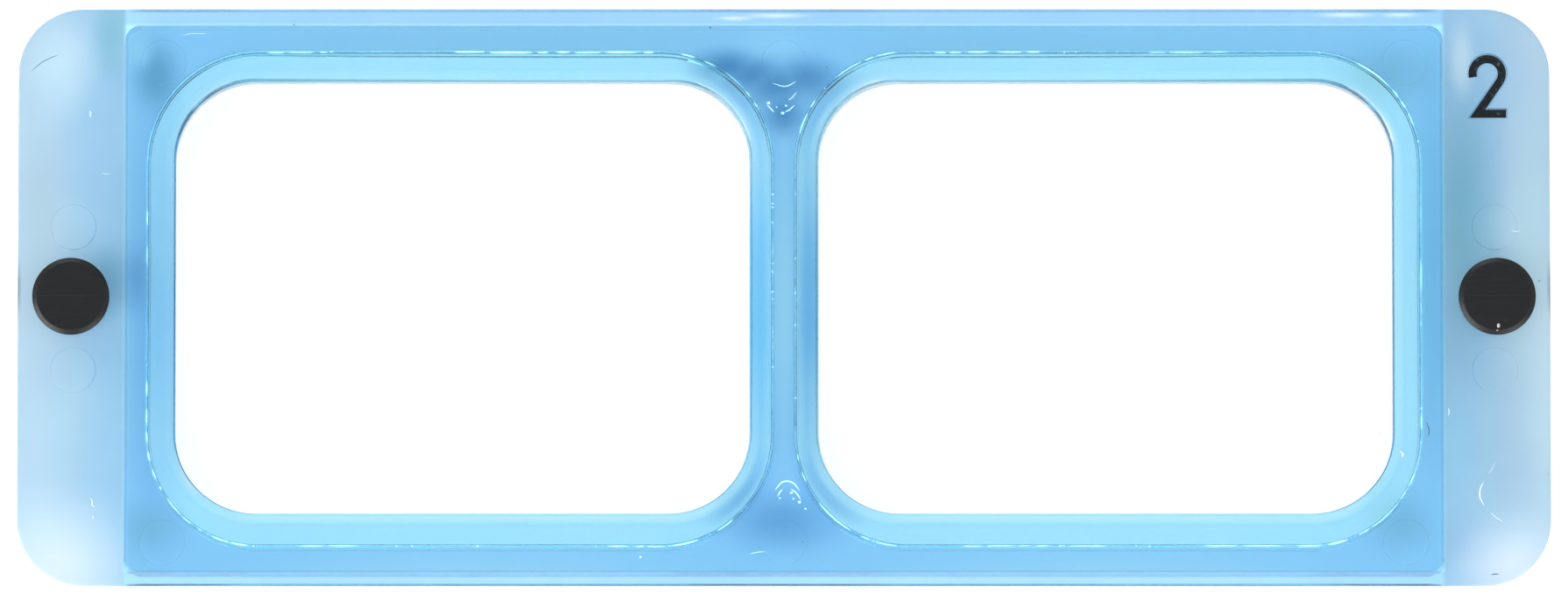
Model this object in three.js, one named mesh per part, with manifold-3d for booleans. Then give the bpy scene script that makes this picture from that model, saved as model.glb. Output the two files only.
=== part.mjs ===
// Two-lens plate of a headband magnifier: a blue-tinted clear moulded plate that holds two
// rectangular magnifying lenses, with a two-piece push rivet at each end that fastens it to the
// magnifier's visor.
//
// Frame, in millimetres: the plate lies on its back with its front face up. The origin is the
// centre of the back face of the deep block, +X runs along the plate's length, +Y up its height
// as it is worn, and +Z out of the front face. Left and right are as seen from the front.

import * as THREE from 'three';
import { mergeVertices } from 'three/addons/utils/BufferGeometryUtils.js';
import Module from 'manifold-3d';

const wasm = await Module();
wasm.setup();

// ---------------------------------------------------------------- driving dimensions

// the flange is the thin front sheet, and the block stands out of its back around both lenses
const FLANGE = { length: 114.3, height: 43.18, corner: 4.9, thickness: 2.0, edge: 0.2 };
const BLOCK = { length: 98.4, height: 40.9, corner: 1.1, depth: 4.6, edge: 0.2 };
const WINDOW = { length: 42.8, height: 32.3, corner: 6.0, centre: 23.98, chamfer: 0.5 };
const POCKET = { length: 47.0, height: 37.3, corner: 8.5, centre: 24.2, lip: 2.2 };
const FRONT = BLOCK.depth + FLANGE.thickness;

// ejector pins leave shallow round marks in the back of the moulding
const EJECTOR = { radius: 1.7, depth: 0.15, blockX: 46.5, blockY: 18.0, flangeX: 53.05, flangeY: 5.35 };

// plano-convex lenses of +2 dioptres, cut with their optical centres moved towards the nose
const LENS = { power: 2, index: 1.523, centreThickness: 3.8, towardsNose: 12, gap: 0.3, bevel: 0.2 };
const LENS_RADIUS = (LENS.index - 1) / LENS.power * 1000;

// the bead of cement that fills the gap around each lens
const CEMENT = { depth: 1.05, clearance: 0.03 };

// push rivets: a slotted grommet through the flange, and a plunger that spreads its legs
const RIVET = { spacing: 106.3, hole: 1.7 };
const GROMMET = { flange: 2.65, flangeThickness: 0.3, barrel: 1.6, bore: 0.95, barb: 1.8, tip: 1.3 };
const GROMMET_Z = { tip: 1.3, barb: 2.5, shoulder: 3.0, slotTop: 4.3 };
const SLOT_WIDTH = 0.5;
const PLUNGER = { head: 2.875, rim: 0.3, top: 7.62, pin: 0.9, pinTip: 0.55, pinEnd: 1.5, taper: 0.7 };

// the strength numeral is a shallow groove filled with black ink
const NUMERAL = {
  x: 52.5, y: 15.8, width: 2.8, height: 4.7, stroke: 0.6, heel: 0.66, groove: 0.3, margin: 0.1,
};

const SEAT_GAP = 0.02;      // between pieces that rest on each other
const LENS_SEAT_GAP = 0.05; // between the lens and the lip
const OVERRUN = 2;          // how far a cutter passes the surface it cuts
const ARC = 6;              // arc quality, in half-segments per quarter turn
const ROUND = 32;           // sides of a small round piece

// ---------------------------------------------------------------- solids and booleans

// A closed three.js geometry as a manifold solid, with its shared vertices merged.
function solid(geometry) {
  const bare = geometry.clone();
  bare.deleteAttribute('normal');
  bare.deleteAttribute('uv');
  const merged = mergeVertices(bare, 1e-4);
  const index = merged.index.array;
  const triangles = [];
  for (let i = 0; i < index.length; i += 3) {
    const [a, b, c] = [index[i], index[i + 1], index[i + 2]];
    if (a !== b && b !== c && c !== a) triangles.push(a, b, c);
  }
  return new wasm.Manifold(new wasm.Mesh({
    numProp: 3,
    vertProperties: new Float32Array(merged.attributes.position.array),
    triVerts: new Uint32Array(triangles),
  }));
}

// A manifold solid as a three.js geometry.
function geometryOf(body) {
  const mesh = body.getMesh();
  const geometry = new THREE.BufferGeometry();
  geometry.setAttribute('position', new THREE.BufferAttribute(mesh.vertProperties, 3));
  geometry.setIndex(new THREE.BufferAttribute(mesh.triVerts, 1));
  geometry.computeVertexNormals();
  return geometry;
}

function roundedRectangle(length, height, radius) {
  const [x, y] = [length / 2 - radius, height / 2 - radius];
  const shape = new THREE.Shape();
  shape.absarc(x, y, radius, 0, Math.PI / 2);
  shape.absarc(-x, y, radius, Math.PI / 2, Math.PI);
  shape.absarc(-x, -y, radius, Math.PI, Math.PI * 1.5);
  shape.absarc(x, -y, radius, Math.PI * 1.5, Math.PI * 2);
  return shape;
}

// A straight-sided prism of a shape between two heights.
function prism(shape, low, high) {
  const geometry = new THREE.ExtrudeGeometry(shape, {
    depth: high - low, bevelEnabled: false, curveSegments: ARC,
  });
  return geometry.translate(0, 0, low);
}

// The same, with both end edges cut back by a bevel. A negative bevel flares the ends out.
function bevelledPrism(shape, low, high, bevel, segments = 1) {
  const reach = Math.abs(bevel);
  const geometry = new THREE.ExtrudeGeometry(shape, {
    depth: high - low - 2 * reach,
    bevelEnabled: true,
    bevelThickness: reach,
    bevelSize: bevel,
    bevelOffset: -bevel,
    bevelSegments: segments,
    curveSegments: ARC,
  });
  return geometry.translate(0, 0, low + reach);
}

function cylinder(radius, low, high, x = 0, y = 0) {
  const geometry = new THREE.CylinderGeometry(radius, radius, high - low, ROUND);
  return geometry.rotateX(Math.PI / 2).translate(x, y, (low + high) / 2);
}

// A profile of [radius, height] points turned about the Z axis.
function turned(profile, sides = ROUND) {
  const points = profile.map(([radius, height]) => new THREE.Vector2(radius, height));
  return new THREE.LatheGeometry(points, sides).rotateX(Math.PI / 2);
}

// ---------------------------------------------------------------- the strength numeral

// A pen stroke of even width along a list of points, mitred at its turns, as a closed shape.
function stroke(points, width) {
  const near = [];
  const far = [];
  points.forEach((point, i) => {
    const arriving = point.clone().sub(points[Math.max(i - 1, 0)]).normalize();
    const leaving = points[Math.min(i + 1, points.length - 1)].clone().sub(point).normalize();
    const [first, second] = [arriving.length() ? arriving : leaving, leaving.length() ? leaving : arriving];
    const along = first.clone().add(second).normalize();
    const reach = width / 2 / along.dot(first);
    const across = new THREE.Vector2(-along.y, along.x).multiplyScalar(reach);
    near.push(point.clone().add(across));
    far.unshift(point.clone().sub(across));
  });
  return new THREE.Shape([...near, ...far]);
}

// The figure two as one pen stroke: a round bowl, a slanted stem and a foot. The margin widens
// the stroke, for the groove that the ink lies in.
function numeralSolid(margin, low, high) {
  const bowl = (NUMERAL.width - NUMERAL.stroke) / 2;
  const bowlY = NUMERAL.height / 2 - NUMERAL.stroke / 2 - bowl;
  const footY = -NUMERAL.height / 2 + NUMERAL.stroke / 2;
  const [start, end, steps] = [THREE.MathUtils.degToRad(195), THREE.MathUtils.degToRad(-35), 20];
  const line = [];
  for (let i = 0; i <= steps; i += 1) {
    const angle = start + (end - start) * i / steps;
    line.push(new THREE.Vector2(bowl * Math.cos(angle), bowlY + bowl * Math.sin(angle)));
  }
  line.push(new THREE.Vector2(NUMERAL.heel - NUMERAL.width / 2, footY));
  line.push(new THREE.Vector2(NUMERAL.width / 2 + margin, footY));
  const figure = prism(stroke(line, NUMERAL.stroke + 2 * margin), low, high);
  return solid(figure.translate(NUMERAL.x, NUMERAL.y, 0));
}

// ---------------------------------------------------------------- the pieces

function plateSolid() {
  const flangeOutline = roundedRectangle(FLANGE.length, FLANGE.height, FLANGE.corner);
  const blockOutline = roundedRectangle(BLOCK.length, BLOCK.height, BLOCK.corner);
  const windowOutline = roundedRectangle(WINDOW.length, WINDOW.height, WINDOW.corner);
  const pocketOutline = roundedRectangle(POCKET.length, POCKET.height, POCKET.corner);

  const blockTop = BLOCK.depth + FLANGE.thickness / 2;
  let plate = solid(bevelledPrism(flangeOutline, BLOCK.depth, FRONT, FLANGE.edge, 2));
  plate = plate.add(solid(bevelledPrism(blockOutline, 0, blockTop, BLOCK.edge)));

  // the pockets, open at the back, stop at the lip; the windows pass through the lip, and the
  // mouth of each window is chamfered
  for (const side of [-1, 1]) {
    const pocket = prism(pocketOutline, -OVERRUN, FRONT - POCKET.lip);
    const opening = prism(windowOutline, -OVERRUN, FRONT + OVERRUN);
    const mouth = bevelledPrism(windowOutline, FRONT - WINDOW.chamfer - OVERRUN, FRONT, -WINDOW.chamfer);
    plate = plate.subtract(solid(pocket.translate(side * POCKET.centre, 0, 0)));
    plate = plate.subtract(solid(opening.translate(side * WINDOW.centre, 0, 0)));
    plate = plate.subtract(solid(mouth.translate(side * WINDOW.centre, 0, 0)));
    plate = plate.subtract(solid(
      cylinder(RIVET.hole, BLOCK.depth - OVERRUN, FRONT + OVERRUN, side * RIVET.spacing / 2)));
  }

  // ejector marks in the back of the block and of the flange
  for (const y of [-1, 1]) {
    for (const x of [-1, 0, 1]) {
      plate = plate.subtract(solid(
        cylinder(EJECTOR.radius, -OVERRUN, EJECTOR.depth, x * EJECTOR.blockX, y * EJECTOR.blockY)));
    }
    for (const x of [-1, 1]) {
      plate = plate.subtract(solid(cylinder(EJECTOR.radius, BLOCK.depth - OVERRUN,
        BLOCK.depth + EJECTOR.depth, x * EJECTOR.flangeX, y * EJECTOR.flangeY)));
    }
  }

  return plate.subtract(numeralSolid(NUMERAL.margin, FRONT - NUMERAL.groove, FRONT + OVERRUN));
}

// One lens: a turned plano-convex blank, flat side against the lip, edged to the pocket's shape.
function lensSolid(side) {
  const front = FRONT - POCKET.lip - LENS_SEAT_GAP;
  const vertex = front - LENS.centreThickness;
  const [blankRadius, rings, sides] = [40, 9, 56];
  const profile = [[0, front + OVERRUN]];
  for (let i = rings; i >= 0; i -= 1) {
    const r = blankRadius * i / rings;
    const back = vertex + LENS_RADIUS - Math.sqrt(LENS_RADIUS ** 2 - r ** 2);
    if (i === rings) profile.push([r, front + OVERRUN]);
    profile.push([r, back]);
  }
  const blank = turned(profile.reverse(), sides);
  blank.translate(side * (POCKET.centre - LENS.towardsNose), 0, 0);

  const outline = roundedRectangle(
    POCKET.length - 2 * LENS.gap, POCKET.height - 2 * LENS.gap, POCKET.corner - LENS.gap);
  const edging = bevelledPrism(outline, -OVERRUN, front, LENS.bevel);
  return solid(blank).intersect(solid(edging.translate(side * POCKET.centre, 0, 0)));
}

// The cement between the lens's edge and the wall of its pocket.
function cementSolid(side) {
  const top = FRONT - POCKET.lip - SEAT_GAP;
  const inset = CEMENT.clearance;
  const reach = LENS.gap - CEMENT.clearance;
  const outside = roundedRectangle(
    POCKET.length - 2 * inset, POCKET.height - 2 * inset, POCKET.corner - inset);
  const inside = roundedRectangle(
    POCKET.length - 2 * reach, POCKET.height - 2 * reach, POCKET.corner - reach);
  const ring = solid(prism(outside, top - CEMENT.depth, top));
  const core = solid(prism(inside, top - CEMENT.depth - OVERRUN, top + OVERRUN));
  return ring.subtract(core).translate(side * POCKET.centre, 0, 0);
}

// The grommet: a thin flange on the front face, and a barrel slotted into four barbed legs.
function grommetSolid() {
  const under = FRONT + SEAT_GAP;
  const body = turned([
    [GROMMET.bore, GROMMET_Z.tip],
    [GROMMET.tip, GROMMET_Z.tip],
    [GROMMET.barb, GROMMET_Z.barb],
    [GROMMET.barb, GROMMET_Z.shoulder - 0.15],
    [GROMMET.barrel, GROMMET_Z.shoulder],
    [GROMMET.barrel, under],
    [GROMMET.flange, under],
    [GROMMET.flange, under + GROMMET.flangeThickness],
    [GROMMET.bore, under + GROMMET.flangeThickness],
    [GROMMET.bore, GROMMET_Z.tip],
  ]);
  let grommet = solid(body);
  const slotHeight = GROMMET_Z.slotTop - GROMMET_Z.tip + OVERRUN;
  for (const turn of [0, Math.PI / 2]) {
    const slot = new THREE.BoxGeometry(4 * GROMMET.barb, SLOT_WIDTH, slotHeight);
    slot.rotateZ(turn + Math.PI / 4).translate(0, 0, GROMMET_Z.slotTop - slotHeight / 2);
    grommet = grommet.subtract(solid(slot));
  }
  return grommet;
}

// The plunger: a flat disc head with a rounded rim, on a plain pin with a tapered tip.
function plungerGeometry() {
  const under = FRONT + 2 * SEAT_GAP + GROMMET.flangeThickness;
  const profile = [
    [0, PLUNGER.pinEnd],
    [PLUNGER.pinTip, PLUNGER.pinEnd],
    [PLUNGER.pin, PLUNGER.pinEnd + PLUNGER.taper],
    [PLUNGER.pin, under],
    [PLUNGER.head - PLUNGER.rim / 3, under],
    [PLUNGER.head, under + PLUNGER.rim / 3],
  ];
  const steps = 4;
  for (let i = 0; i <= steps; i += 1) {
    const angle = Math.PI / 2 * i / steps;
    profile.push([
      PLUNGER.head - PLUNGER.rim + PLUNGER.rim * Math.cos(angle),
      PLUNGER.top - PLUNGER.rim + PLUNGER.rim * Math.sin(angle),
    ]);
  }
  profile.push([0, PLUNGER.top]);
  return turned(profile);
}

// ---------------------------------------------------------------- materials and assembly

const tintedPlastic = new THREE.MeshStandardMaterial({
  color: 0x8fcbee, roughness: 0.25, metalness: 0, transparent: true, opacity: 0.75,
});
const lensGlass = new THREE.MeshStandardMaterial({
  color: 0xf7fbfc, roughness: 0.03, metalness: 0, transparent: true, opacity: 0.3,
});
const clearCement = new THREE.MeshStandardMaterial({
  color: 0xc8f0ff, roughness: 0.15, metalness: 0, transparent: true, opacity: 0.6,
});
const blackNylon = new THREE.MeshStandardMaterial({ color: 0x25282b, roughness: 0.45, metalness: 0 });
const blackInk = new THREE.MeshStandardMaterial({ color: 0x1b2226, roughness: 0.5, metalness: 0 });

const group = new THREE.Group();

function addPiece(name, geometry, material, x = 0) {
  const mesh = new THREE.Mesh(geometry, material);
  mesh.name = name;
  mesh.position.x = x;
  group.add(mesh);
}

addPiece('lens_plate', geometryOf(plateSolid()), tintedPlastic);
addPiece('strength_numeral', geometryOf(numeralSolid(
  0, FRONT - NUMERAL.groove + SEAT_GAP, FRONT - 2 * SEAT_GAP)), blackInk);

for (const [name, side] of [['left', -1], ['right', 1]]) {
  const rivetX = side * RIVET.spacing / 2;
  addPiece(`${name}_lens`, geometryOf(lensSolid(side)), lensGlass);
  addPiece(`${name}_lens_cement`, geometryOf(cementSolid(side)), clearCement);
  addPiece(`${name}_rivet_grommet`, geometryOf(grommetSolid()), blackNylon, rivetX);
  addPiece(`${name}_rivet_plunger`, geometryOf(solid(plungerGeometry())), blackNylon, rivetX);
}

export default group;
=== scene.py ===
"""Two-lens plate of a headband magnifier: the looks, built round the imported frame.

Lengths are in millimetres in the constants and the outlines, and MM turns them into metres.
"""

import math
import random
from bisect import bisect_right

import bmesh
import bpy
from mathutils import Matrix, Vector, noise


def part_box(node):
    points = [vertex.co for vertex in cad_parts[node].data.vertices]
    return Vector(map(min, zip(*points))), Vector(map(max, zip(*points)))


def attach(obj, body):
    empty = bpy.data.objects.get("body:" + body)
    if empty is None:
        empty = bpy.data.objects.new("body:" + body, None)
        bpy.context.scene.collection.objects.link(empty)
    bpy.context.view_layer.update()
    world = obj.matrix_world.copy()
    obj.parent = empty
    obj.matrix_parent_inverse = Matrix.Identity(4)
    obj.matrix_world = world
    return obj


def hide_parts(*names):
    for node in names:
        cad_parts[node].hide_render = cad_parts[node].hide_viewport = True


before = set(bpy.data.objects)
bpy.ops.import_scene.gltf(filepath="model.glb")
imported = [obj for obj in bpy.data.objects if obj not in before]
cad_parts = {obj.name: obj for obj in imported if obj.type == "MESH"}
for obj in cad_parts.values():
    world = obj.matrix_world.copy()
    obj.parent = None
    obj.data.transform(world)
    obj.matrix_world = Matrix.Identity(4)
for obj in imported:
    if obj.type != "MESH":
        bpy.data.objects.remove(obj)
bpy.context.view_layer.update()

MM = 0.001
SCENE = bpy.context.scene


# ---------- sizes, from the frame

def corners(node):
    """The lowest and highest corner of a CAD node, in millimetres."""
    low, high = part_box(node)
    return low / MM, high / MM


PLATE_LOW, PLATE_HIGH = corners("lens_plate")
FLANGE_LENGTH = PLATE_HIGH.x - PLATE_LOW.x
FLANGE_HEIGHT = PLATE_HIGH.y - PLATE_LOW.y
FRONT = PLATE_HIGH.z
FLANGE_CORNER = 4.9
FLANGE_THICKNESS = 2.0
FLANGE_BACK = FRONT - FLANGE_THICKNESS

BLOCK_LENGTH, BLOCK_HEIGHT, BLOCK_CORNER = 98.4, 40.9, 1.1

WINDOW_LENGTH, WINDOW_HEIGHT, WINDOW_CORNER = 42.8, 32.3, 6.0
WINDOW_CENTRE = 23.98
WINDOW_SLOPE = 0.85         # how far the rounding of a window's mouth reaches
LIP = 2.2

# the window's wall as (outward, drop): a gentle round, and a straight wall down to the lip
WINDOW_MOUTH = [(WINDOW_SLOPE + 0.1, 0.0), (WINDOW_SLOPE - 0.07, 0.02), (0.6, 0.06), (0.42, 0.13),
                (0.26, 0.23), (0.12, 0.35), (0.02, 0.46), (0.0, 0.5), (0.0, LIP)]

POCKET_LENGTH, POCKET_HEIGHT, POCKET_CORNER = 47.0, 37.3, 8.5
POCKET_CENTRE = 24.2

EJECTOR_RADIUS, EJECTOR_DEPTH, EJECTOR_DRAFT = 1.7, 0.15, 0.03
EJECTORS_IN_BLOCK = [(x, y) for x in (-46.5, 0.0, 46.5) for y in (-18.0, 18.0)]
EJECTORS_IN_FLANGE = [(x, y) for x in (-53.05, 53.05) for y in (-5.35, 5.35)]

RIVET_HOLE = 1.7

NUMERAL_PLACE = (52.5, 15.8)
NUMERAL_WIDTH, NUMERAL_HEIGHT, NUMERAL_STROKE = 2.8, 4.7, 0.6
NUMERAL_HEEL = 0.66         # how far the foot of the stem stands from the left
BOWL_START, BOWL_END, BOWL_STEPS = 195, -35, 20     # the sweep of its bowl, in degrees
GROOVE_DEPTH, GROOVE_MARGIN, GROOVE_DRAFT = 0.3, 0.1, 0.03

EDGE = 0.03                 # rounding of the block's and the pockets' edges
ROOT = 0.02                 # the block's root in the flange
FLANGE_EDGE = 0.2           # rounding of the flange's rim
ARC_STEPS = 18              # per quarter turn of a corner
SIDE_STEPS = 6              # along a straight side
BEAD_STEPS = 60             # the same for the cement and what is caught in it
ROUND_STEPS = 72            # round a turned piece

SIDES = (("left", -1), ("right", 1))
SQUARE = ((-1, -1), (1, -1), (1, 1), (-1, 1))

LENS_INDEX = 1.523          # crown glass
LENS_FOCUS = 500.0          # a lens of two dioptres
LENS_RADIUS = (LENS_INDEX - 1) * LENS_FOCUS
TOWARDS_NOSE = 12.0         # how far the optical centre stands from the middle of the lens
LENS_BEVEL = 0.06
LENS_GAP = 0.3              # from the lens's edge to the pocket's wall
LENS_RINGS = 14             # from the edge of the curved face to its middle

CEMENT_CLEARANCE = 0.03
CEMENT_SIDES = 12           # round the bead's section
CEMENT_DEPTH, CEMENT_SLUMP, CEMENT_RIPPLE = 0.62, 0.3, 0.07     # shares of the room it has
SLUMP_SCALE, RIPPLE_SCALE = 0.35, 2.2       # in waves per mm

AIR_DROP, AIR_THICKNESS = 0.05, 0.06
AIR_RUN, AIR_SKIP, AIR_SHORTEST = (0.5, 3.4), (0.05, 0.7), 0.15     # its dashes and the gaps between them
AIR_SWELL, AIR_DRIFT, AIR_RISE = (0.75, 1.15), (-0.03, 0.03), 0.02
AIR_BUBBLES, AIR_BUBBLE_SIZE = 46, (0.03, 0.075)
BUBBLE_DEPTH = LIP + 0.35   # of the bubbles in the bridge, below the front face
MARK_THICKNESS = 0.03       # of a scratch or a speck, half sunk in the front face

HEAD_RIM = 0.34             # width of the bevel round a plunger's head
HEAD_RIM_DROP = 0.7 * HEAD_RIM
HEAD_FACE_DROP = 0.03       # leaves room for the mould line and the gate mark
SHOULDER_REACH, SHOULDER_DROP, SHOULDER_STEPS = 0.05, 0.03, 4
MOULD_LINE_MARGIN, MOULD_LINE_WIDTH = 0.3, 0.1
FLECK_THICKNESS = 0.06
PIN_RADIUS, PIN_TIP, PIN_TAPER, PIN_FILLET = 0.9, 0.55, 0.7, 0.12
GROMMET_BORE, GROMMET_BARREL, GROMMET_BARB, GROMMET_TIP = 0.95, 1.6, 1.8, 1.3
GROMMET_FLANGE_THICKNESS, BARB_LOW, BARB_HIGH = 0.3, 2.5, 3.0
SLOT_WIDTH, SLOT_TOP, SLOT_REACH = 0.5, 4.3, 3
SEAT_GAP = 0.02

# the steepest angle, in degrees, that is still shaded smooth
LENS_CREASE, PLATE_CREASE, INK_CREASE, RIVET_CREASE, CEMENT_CREASE, LOOSE_CREASE = 20, 35, 40, 40, 60, 80


# ---------- outlines

def rounded_rectangle(length, height, radius, centre=(0, 0), inset=0.0, side_steps=SIDE_STEPS):
    """Points of a rounded rectangle, anticlockwise. The same points come back for every inset."""
    half_x, half_y, r = length / 2 - radius, height / 2 - radius, max(radius - inset, 0.02)
    points = []
    for quarter, (sx, sy) in enumerate(((1, 1), (-1, 1), (-1, -1), (1, -1))):
        for step in range(ARC_STEPS + 1):
            angle = math.radians(90 * (quarter + step / ARC_STEPS))
            points.append((sx * half_x + r * math.cos(angle), sy * half_y + r * math.sin(angle)))
        ahead = ((-1, 1), (-1, -1), (1, -1), (1, 1))[quarter]
        angle = math.radians(90 * (quarter + 1))
        start = points[-1]
        end = (ahead[0] * half_x + r * math.cos(angle), ahead[1] * half_y + r * math.sin(angle))
        for step in range(1, side_steps):
            share = step / side_steps
            points.append((start[0] + (end[0] - start[0]) * share, start[1] + (end[1] - start[1]) * share))
    return [(x + centre[0], y + centre[1]) for x, y in points]


def circle(radius, centre=(0, 0), sides=48):
    turns = [2 * math.pi * i / sides for i in range(sides)]
    return [(centre[0] + radius * math.cos(t), centre[1] + radius * math.sin(t)) for t in turns]


def stroke(points, width):
    """A pen stroke of even width along a list of points, mitred at its turns, as an outline."""
    near, far = [], []
    for i, point in enumerate(points):
        arriving = (Vector(point) - Vector(points[max(i - 1, 0)])).normalized()
        leaving = (Vector(points[min(i + 1, len(points) - 1)]) - Vector(point)).normalized()
        first, second = arriving if arriving.length else leaving, leaving if leaving.length else arriving
        along = (first + second).normalized()
        reach = width / 2 / along.dot(first)
        near.append((point[0] - along.y * reach, point[1] + along.x * reach))
        far.insert(0, (point[0] + along.y * reach, point[1] - along.x * reach))
    return near + far


def numeral_outline(margin):
    """The figure two as one pen stroke: a round bowl, a slanted stem and a foot."""
    bowl = (NUMERAL_WIDTH - NUMERAL_STROKE) / 2
    bowl_y = NUMERAL_HEIGHT / 2 - NUMERAL_STROKE / 2 - bowl
    foot_y = -NUMERAL_HEIGHT / 2 + NUMERAL_STROKE / 2
    start, end = math.radians(BOWL_START), math.radians(BOWL_END)
    line = []
    for step in range(BOWL_STEPS + 1):
        angle = start + (end - start) * step / BOWL_STEPS
        line.append((bowl * math.cos(angle), bowl_y + bowl * math.sin(angle)))
    line.append((NUMERAL_HEEL - NUMERAL_WIDTH / 2, foot_y))
    line.append((NUMERAL_WIDTH / 2 + margin, foot_y))
    outline = stroke(line, NUMERAL_STROKE + 2 * margin)
    return [(x + NUMERAL_PLACE[0], y + NUMERAL_PLACE[1]) for x, y in outline]


class Path:
    """A closed outline measured along its length."""

    def __init__(self, points):
        self.points = [Vector(p) for p in points]
        self.marks = [0.0]
        for i, point in enumerate(self.points):
            self.marks.append(self.marks[-1] + (self.points[(i + 1) % len(self.points)] - point).length)
        self.length = self.marks[-1]

    def at(self, distance):
        """The point at a distance along the outline."""
        distance %= self.length
        i = min(bisect_right(self.marks, distance) - 1, len(self.points) - 1)
        share = (distance - self.marks[i]) / (self.marks[i + 1] - self.marks[i])
        return self.points[i].lerp(self.points[(i + 1) % len(self.points)], share)

    def nearest(self, x, y):
        """How far along the outline its nearest corner point to (x, y) is."""
        i = min(range(len(self.points)), key=lambda k: (self.points[k] - Vector((x, y))).length)
        return self.marks[i]

    def stretch(self, start, end, steps):
        """Evenly spaced points from one distance to another."""
        return [self.at(start + (end - start) * i / steps) for i in range(steps + 1)]


# ---------- mesh building

class Solid:
    """A closed mesh made of rings of points, skins between them and flat fills.

    It is built in millimetres, where the fills keep their precision, and scaled to metres at the end.
    """

    def __init__(self):
        self.bm = bmesh.new()

    def ring(self, points, height):
        """A ring of vertices at one height, or at a height for each point."""
        heights = height if isinstance(height, (list, tuple)) else [height] * len(points)
        return [self.bm.verts.new((x, y, z)) for (x, y), z in zip(points, heights)]

    def skin(self, first, second):
        """The band of faces between two rings."""
        for i, vertex in enumerate(first):
            j = (i + 1) % len(first)
            self.bm.faces.new((vertex, first[j], second[j], second[i]))

    def loft(self, rings):
        """Each ring skinned to the next."""
        for first, second in zip(rings, rings[1:]):
            self.skin(first, second)

    def fill(self, *rings):
        """A flat face bounded by the first ring, with the other rings as holes."""
        edges = []
        for ring in rings:
            for i, vertex in enumerate(ring):
                after = ring[(i + 1) % len(ring)]
                edges.append(self.bm.edges.get((vertex, after)) or self.bm.edges.new((vertex, after)))
        bmesh.ops.triangle_fill(self.bm, use_beauty=True, use_dissolve=False, edges=edges)

    def fan(self, ring, x, y, z):
        """Closes a ring with triangles round one point."""
        middle = self.bm.verts.new((x, y, z))
        for i, vertex in enumerate(ring):
            self.bm.faces.new((vertex, ring[(i + 1) % len(ring)], middle))

    def loop(self, rings):
        """A ring-shaped tube: each ring skinned to the next, and the last to the first."""
        for first, second in zip(rings, rings[1:] + rings[:1]):
            self.skin(first, second)

    def turned(self, profile, x, y, steps=ROUND_STEPS):
        """A profile of (radius, height) turned about an upright axis, with closed ends."""
        rings = [self.ring(circle(radius, (x, y), steps), z) for radius, z in profile]
        self.loft(rings)
        self.fill(rings[0])
        self.fill(rings[-1])

    def sliver(self, points, width, thickness, sides=8):
        """A closed sliver along a list of 3-D points, pointed at both ends."""
        count = len(points)
        rings = []
        for i in range(1, count - 1):
            along = (points[i + 1] - points[i - 1]).normalized()
            across = Vector((0, 0, 1)).cross(along).normalized()
            up = along.cross(across)
            swell = math.sqrt(math.sin(math.pi * i / (count - 1)))
            ring = []
            for k in range(sides):
                turn = 2 * math.pi * k / sides
                offset = across * (width / 2 * math.cos(turn)) + up * (thickness / 2 * math.sin(turn))
                ring.append(self.bm.verts.new(points[i] + offset * swell))
            rings.append(ring)
        self.loft(rings)
        for ring, tip in ((rings[0], points[0]), (rings[-1], points[-1])):
            self.fan(ring, *tip)

    def bead(self, place, size, seed, detail=2):
        """A small lumpy drop. size is its three half-widths, and seed picks its lumps."""
        made = bmesh.ops.create_icosphere(self.bm, subdivisions=detail, radius=1.0)
        for vertex in made["verts"]:
            bulge = 1 + 0.18 * noise.noise(vertex.co * 1.7 + Vector((seed, 0, 0)))
            vertex.co = Vector([place[k] + vertex.co[k] * size[k] * bulge for k in range(3)])

    def piece(self, name, crease):
        """The finished object: welded, its faces turned outward, and scaled to metres."""
        bmesh.ops.remove_doubles(self.bm, verts=self.bm.verts, dist=1e-5)
        bmesh.ops.recalc_face_normals(self.bm, faces=self.bm.faces)
        bmesh.ops.scale(self.bm, vec=(MM, MM, MM), verts=self.bm.verts)
        mesh = bpy.data.meshes.new(name)
        self.bm.to_mesh(mesh)
        self.bm.free()
        return finished_piece(name, mesh, crease)


def smooth_line(points, z, steps=5):
    """3-D points at one height on a smooth curve through a few 2-D ones."""
    flat = [Vector(p) for p in points]
    padded = [2 * flat[0] - flat[1]] + flat + [2 * flat[-1] - flat[-2]]
    line = []
    for a, b, c, d in zip(padded, padded[1:], padded[2:], padded[3:]):
        for step in range(steps):
            t = step / steps
            line.append(0.5 * (2 * b + (c - a) * t + (2 * a - 5 * b + 4 * c - d) * t ** 2
                               + (3 * b - a - 3 * c + d) * t ** 3))
    line.append(flat[-1])
    return [Vector((p.x, p.y, z)) for p in line]


def finished_piece(name, mesh, crease):
    """An object for a mesh, shaded smooth across edges less steep than the crease, in degrees."""
    piece = bpy.data.objects.new(name, mesh)
    SCENE.collection.objects.link(piece)
    for face in mesh.polygons:
        face.use_smooth = True
    mesh.set_sharp_from_angle(angle=math.radians(crease))
    return piece


def weight_normals(piece):
    """Keeps flat faces flat beside small roundings."""
    modifier = piece.modifiers.new("flat_faces", "WEIGHTED_NORMAL")
    modifier.weight = 100
    modifier.keep_sharp = True


def dress(piece, body, slot, material, *nodes):
    """Gives a piece its material and body, and hides the CAD nodes it stands for. slot is not used."""
    piece.data.materials.clear()
    piece.data.materials.append(material)
    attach(piece, body)
    if nodes:
        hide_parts(*nodes)
    return piece


# ---------- materials

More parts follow.
